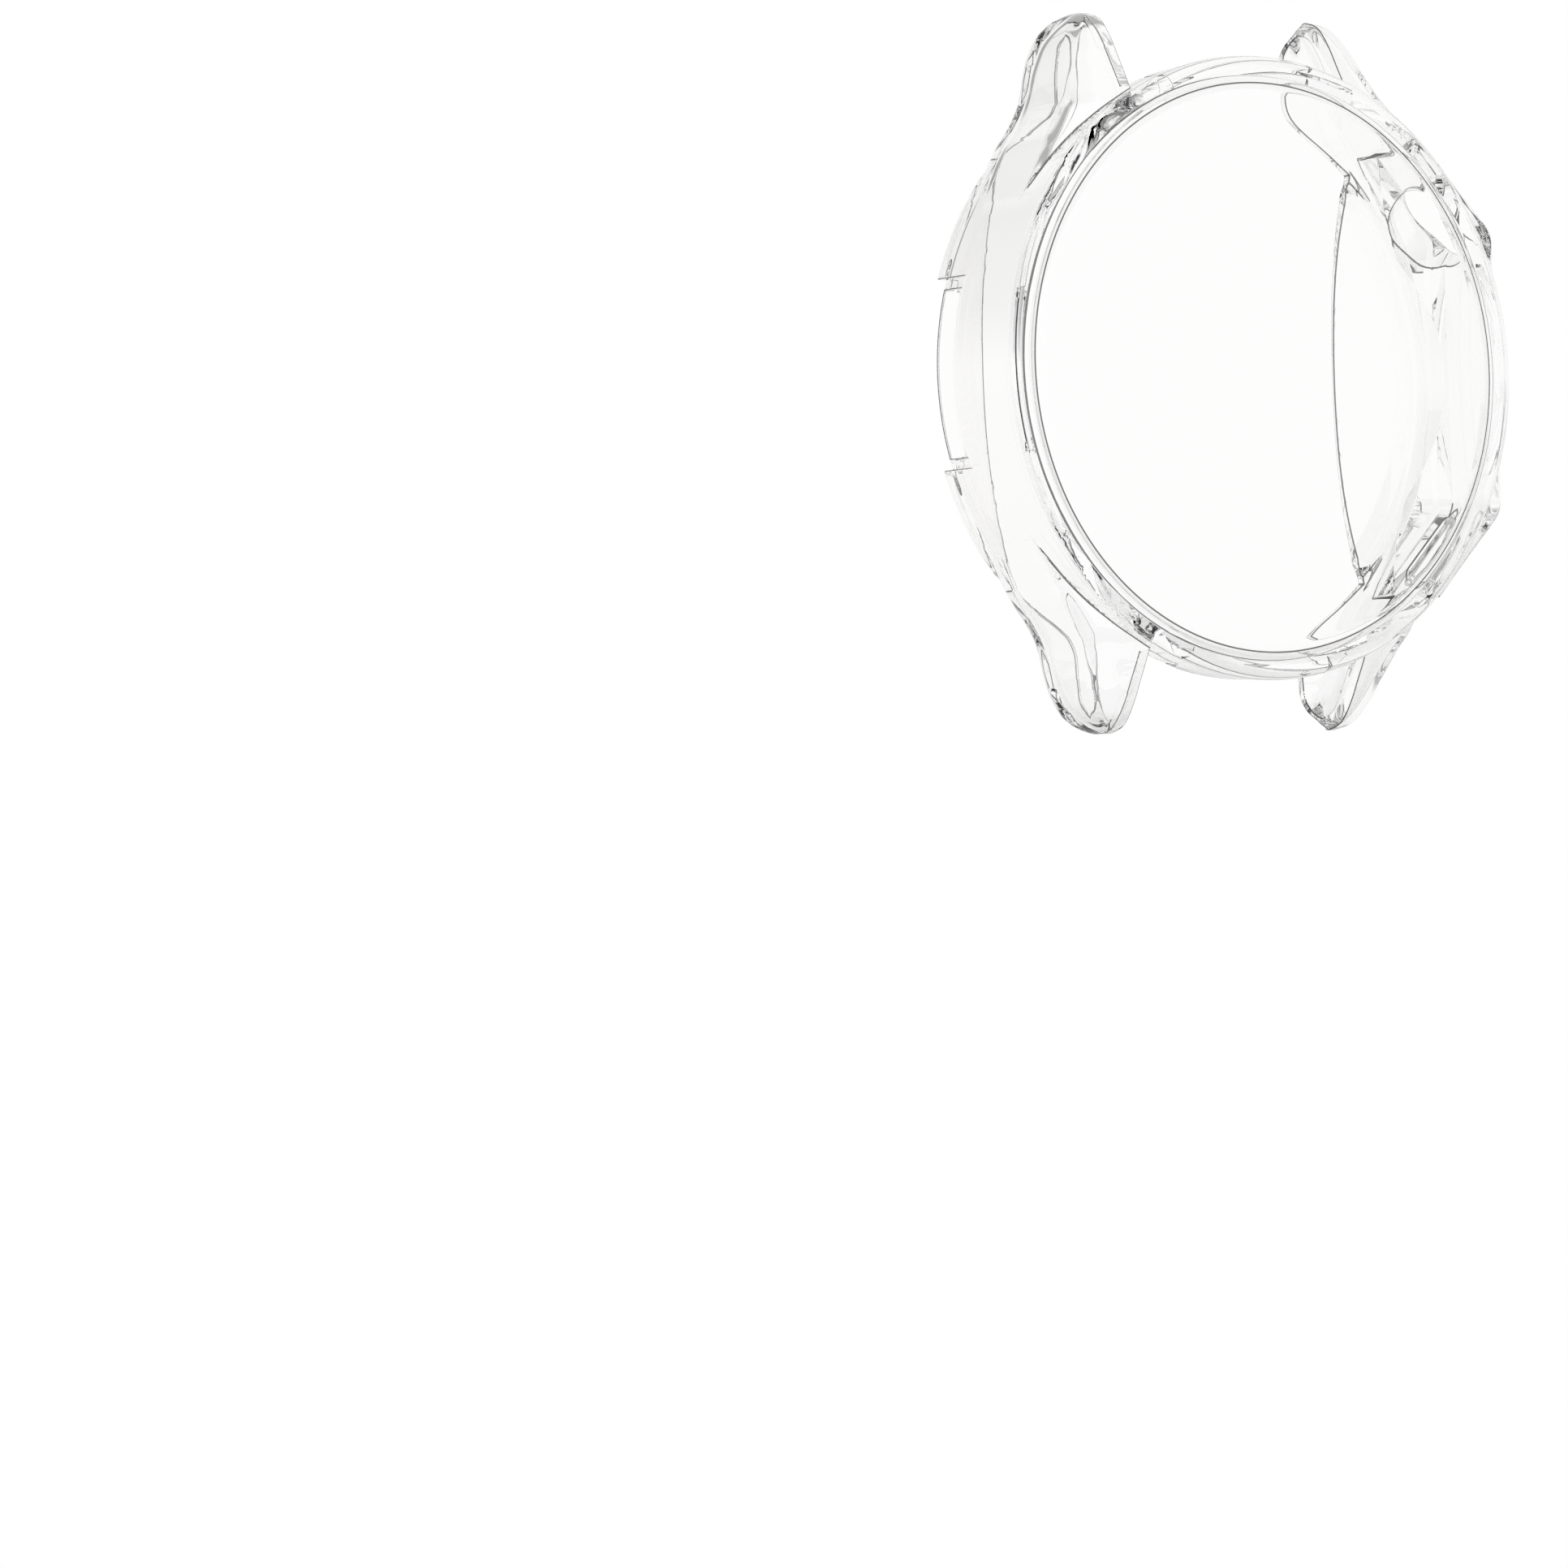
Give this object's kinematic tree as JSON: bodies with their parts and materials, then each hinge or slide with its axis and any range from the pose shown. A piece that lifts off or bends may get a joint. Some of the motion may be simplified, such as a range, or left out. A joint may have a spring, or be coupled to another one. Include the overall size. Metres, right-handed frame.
{
  "type": "smartwatch bumper case",
  "caption": "Clear soft bumper case for a round smartwatch, with a front window, a raised bezel ring, hooded lug guards, crown and button openings and an open back.",
  "frame": {"origin": "centre of the window's inner face, where the watch's glass rests", "axes": "+Z to the 12 o'clock lugs, +X to the crown side, +Y from the window to the open back"},
  "size_m": [0.0498, 0.0143, 0.0572],
  "materials": {
    "clear_tpu": "clear and glossy, soft"
  },
  "bodies": {
    "case_body": {"front_window": "clear_tpu", "bezel_ring": "clear_tpu", "side_wall_left": "clear_tpu", "side_wall_right": "clear_tpu", "crown_guard": "clear_tpu", "button_guard": "clear_tpu", "strap_skirt_top": "clear_tpu", "strap_skirt_bottom": "clear_tpu"},
    "lug_guard_upper_right": {"lug_guard_upper_right": "clear_tpu"},
    "lug_guard_upper_left": {"lug_guard_upper_left": "clear_tpu"},
    "lug_guard_lower_right": {"lug_guard_lower_right": "clear_tpu"},
    "lug_guard_lower_left": {"lug_guard_lower_left": "clear_tpu"},
    "rear_lip_right": {"rear_lip_right": "clear_tpu"},
    "rear_lip_left": {"rear_lip_left": "clear_tpu"},
    "button_cover": {"button_cover": "clear_tpu"}
  },
  "joints": [
    {"name": "lug_guard_upper_right_flex", "type": "hinge", "parent": "case_body", "child": "lug_guard_upper_right", "pos_m": [0.0135, 0.0015, 0.0225], "axis": [1, 0, 0], "range_deg": [0, 12], "stiffness_Nm_per_rad": 0.08},
    {"name": "lug_guard_upper_left_flex", "type": "hinge", "parent": "case_body", "child": "lug_guard_upper_left", "pos_m": [-0.0135, 0.0015, 0.0225], "axis": [1, 0, 0], "range_deg": [0, 12], "stiffness_Nm_per_rad": 0.08},
    {"name": "lug_guard_lower_right_flex", "type": "hinge", "parent": "case_body", "child": "lug_guard_lower_right", "pos_m": [0.0135, 0.0015, -0.0225], "axis": [-1, 0, 0], "range_deg": [0, 12], "stiffness_Nm_per_rad": 0.08},
    {"name": "lug_guard_lower_left_flex", "type": "hinge", "parent": "case_body", "child": "lug_guard_lower_left", "pos_m": [-0.0135, 0.0015, -0.0225], "axis": [-1, 0, 0], "range_deg": [0, 12], "stiffness_Nm_per_rad": 0.08},
    {"name": "rear_lip_right_flex", "type": "hinge", "parent": "case_body", "child": "rear_lip_right", "pos_m": [0.0224, 0.01157, 0], "axis": [0, 0, -1], "range_deg": [0, 40], "stiffness_Nm_per_rad": 0.02},
    {"name": "rear_lip_left_flex", "type": "hinge", "parent": "case_body", "child": "rear_lip_left", "pos_m": [-0.0224, 0.01157, 0], "axis": [0, 0, 1], "range_deg": [0, 40], "stiffness_Nm_per_rad": 0.02},
    {"name": "button_cover_press", "type": "slide", "parent": "case_body", "child": "button_cover", "axis": [-0.7193, 0, 0.6947], "range_m": [0, 0.0004], "stiffness_N_per_m": 500}
  ]
}
